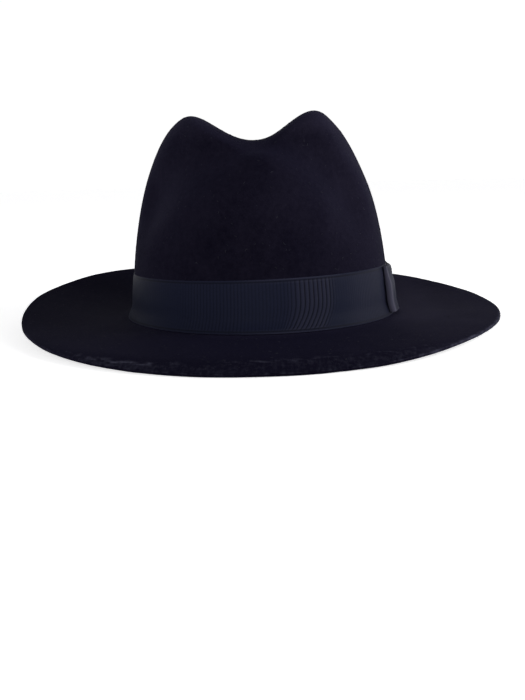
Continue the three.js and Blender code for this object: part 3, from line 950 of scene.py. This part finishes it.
# Stage: floor, lights and camera
CAMERA_PLACE = Vector((32.28, -525.84, 93.06)) * MM
CAMERA_YAW, CAMERA_PITCH, CAMERA_ROLL = 3.573, 12.457, 1.554  # degrees
CAMERA_LENS = 40.63
FLOOR_RADIUS = 8
HAT_MIDDLE = (0, 0, 0.06)
KEY_PLACE, KEY_SIZE = (1.4, -0.1, 0.5), 0.9
FILL_PLACE, FILL_SIZE = (0, -1.5, 0.3), 0.5
CEILING_FROM, CEILING_TO = 0.3, 0.8  # how far up the room darkens, as the sine of the angle


def add_light(name, place, size, power):
    """A square soft light that looks at the hat."""
    data = bpy.data.lights.new(name, "AREA")
    data.shape = "SQUARE"
    data.size = size
    data.energy = power
    light = bpy.data.objects.new(name, data)
    bpy.context.scene.collection.objects.link(light)
    aim = (Vector(HAT_MIDDLE) - Vector(place)).to_track_quat("-Z", "Y")
    light.matrix_world = Matrix.Translation(place) @ aim.to_matrix().to_4x4()


def pale_surroundings(strength):
    """A white room with a dark ceiling."""
    world = bpy.data.worlds.new("pale surroundings")
    world.use_nodes = True
    tree = world.node_tree
    background = tree.nodes["Background"]
    background.inputs["Strength"].default_value = strength
    direction = add_node(tree, "ShaderNodeTexCoord", {}, {}).outputs["Generated"]
    parts = add_node(tree, "ShaderNodeSeparateXYZ", {}, {"Vector": direction})
    height = add_node(tree, "ShaderNodeMapRange", {"From Min": CEILING_FROM, "From Max": CEILING_TO},
                      {"Value": parts.outputs["Z"]})
    shade = add_node(tree, "ShaderNodeMix", {"data_type": "RGBA", MIX_A: linear("#ffffff"),
                                             MIX_B: linear("#3a3a3e")},
                     {"Factor": height.outputs["Result"]})
    tree.links.new(shade.outputs[MIX_RESULT], background.inputs["Color"])
    return world


class HAT_OT_stage(bpy.types.Operator):
    """Adds the pale floor, the soft lights, the surroundings and the camera"""

    bl_idname = "hat.stage"
    bl_label = "Stage"

    def execute(self, context):
        scene = context.scene
        settings = scene.hat_stage
        form = bmesh.new()
        bmesh.ops.create_circle(form, cap_ends=True, segments=96, radius=FLOOR_RADIUS)
        floor = bpy.data.objects.new("floor", as_mesh(form, "floor"))
        floor.data.materials.append(studio_paper())
        scene.collection.objects.link(floor)

        scene.world = pale_surroundings(settings.surround)
        scene.view_settings.view_transform = "Standard"

        add_light("main light", KEY_PLACE, KEY_SIZE, settings.key_power)
        add_light("fill light", FILL_PLACE, FILL_SIZE, settings.fill_power)

        data = bpy.data.cameras.new("camera")
        data.lens = CAMERA_LENS
        camera = bpy.data.objects.new("camera", data)
        scene.collection.objects.link(camera)
        camera.matrix_world = (
            Matrix.Translation(CAMERA_PLACE)
            @ Matrix.Rotation(math.radians(CAMERA_YAW), 4, "Z")
            @ Matrix.Rotation(math.radians(90 - CAMERA_PITCH), 4, "X")
            @ Matrix.Rotation(math.radians(-CAMERA_ROLL), 4, "Z")
        )
        scene.camera = camera
        return {"FINISHED"}


# Sidebar panel and registration
PIECES = (HAT_OT_felt_body, HAT_OT_felt_fibres, HAT_OT_ribbon_band, HAT_OT_side_bow, HAT_OT_stage)


class HAT_PT_pieces(bpy.types.Panel):
    """Lists the hat's pieces and their settings"""

    bl_idname = "HAT_PT_pieces"
    bl_label = "Felt fedora"
    bl_space_type = "VIEW_3D"
    bl_region_type = "UI"
    bl_category = "Fedora"

    def draw(self, context):
        for piece in PIECES:
            self.layout.operator(piece.bl_idname)
        for settings in (context.scene.hat_felt, context.scene.hat_ribbon, context.scene.hat_stage):
            box = self.layout.box()
            for name in settings.__annotations__:
                box.prop(settings, name)


CLASSES = (FeltSettings, RibbonSettings, StageSettings, *PIECES, HAT_PT_pieces)


def register():
    for item in CLASSES:
        bpy.utils.register_class(item)
    bpy.types.Scene.hat_felt = PointerProperty(type=FeltSettings)
    bpy.types.Scene.hat_ribbon = PointerProperty(type=RibbonSettings)
    bpy.types.Scene.hat_stage = PointerProperty(type=StageSettings)


def unregister():
    del bpy.types.Scene.hat_stage
    del bpy.types.Scene.hat_ribbon
    del bpy.types.Scene.hat_felt
    for item in reversed(CLASSES):
        bpy.utils.unregister_class(item)


def main():
    register()
    bpy.ops.hat.felt_body()
    bpy.ops.hat.felt_fibres()
    bpy.ops.hat.ribbon_band()
    bpy.ops.hat.side_bow()
    bpy.ops.hat.stage()


if __name__ == "__main__":
    main()
